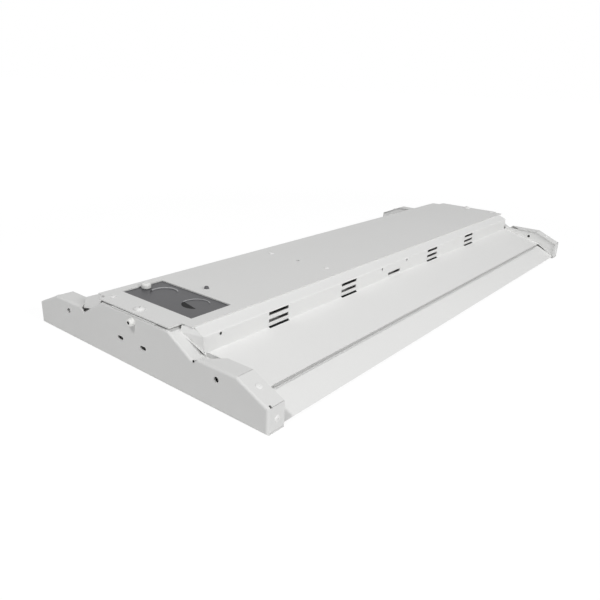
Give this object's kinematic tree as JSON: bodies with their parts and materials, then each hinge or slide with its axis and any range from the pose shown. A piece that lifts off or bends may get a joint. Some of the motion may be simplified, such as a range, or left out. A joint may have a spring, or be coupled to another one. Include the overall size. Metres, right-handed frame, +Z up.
{
  "type": "high bay light",
  "caption": "Slim rectangular LED high bay light in white folded sheet steel with a raised vented driver channel, stepped end plates, wiring window and frosted lens.",
  "frame": {"origin": "middle of the underside, level with the lower flanges of the end plates", "axes": "+Z up, away from the light-emitting side; +Y along the length; the wiring window is at -Y; +X across the fixture"},
  "size_m": [0.2738, 0.608, 0.0506],
  "materials": {
    "white_steel": "fine satin powder coat",
    "grey_plastic": "satin moulded plastic",
    "white_plastic": "glossy moulded plastic",
    "lens_plastic": "frosted",
    "board": "white solder resist on aluminium",
    "led_package": "phosphor fill",
    "driver_metal": "satin",
    "zinc_steel": "bright zinc plating",
    "terminal_plastic": "satin",
    "lead_insulation": "satin"
  },
  "bodies": {
    "root": {"end_plate_front": "white_steel", "end_plate_rear": "white_steel", "housing_side_right": "white_steel", "housing_side_left": "white_steel", "side_rail_right": "white_steel", "side_rail_left": "white_steel", "channel_end_front": "white_steel", "channel_end_rear": "white_steel", "top_cover": "white_steel", "cover_strap": "white_steel", "access_plate": "grey_plastic", "access_button": "white_plastic", "end_bushing_front": "white_plastic", "end_bushing_rear": "white_plastic", "led_tray": "white_steel", "led_board_right": "board", "led_board_left": "board", "led_packages": "led_package", "lens_panel": "lens_plastic", "driver_base": "zinc_steel", "driver_case": "driver_metal", "terminal_block": "terminal_plastic", "supply_leads": "lead_insulation", "cover_screws": "white_steel", "cover_rivets": "white_steel", "strap_rivets": "white_steel", "end_screws": "white_steel", "side_rivets": "white_steel", "slope_rivets": "white_steel", "driver_screws": "zinc_steel", "ground_screw": "zinc_steel"}
  },
  "joints": []
}
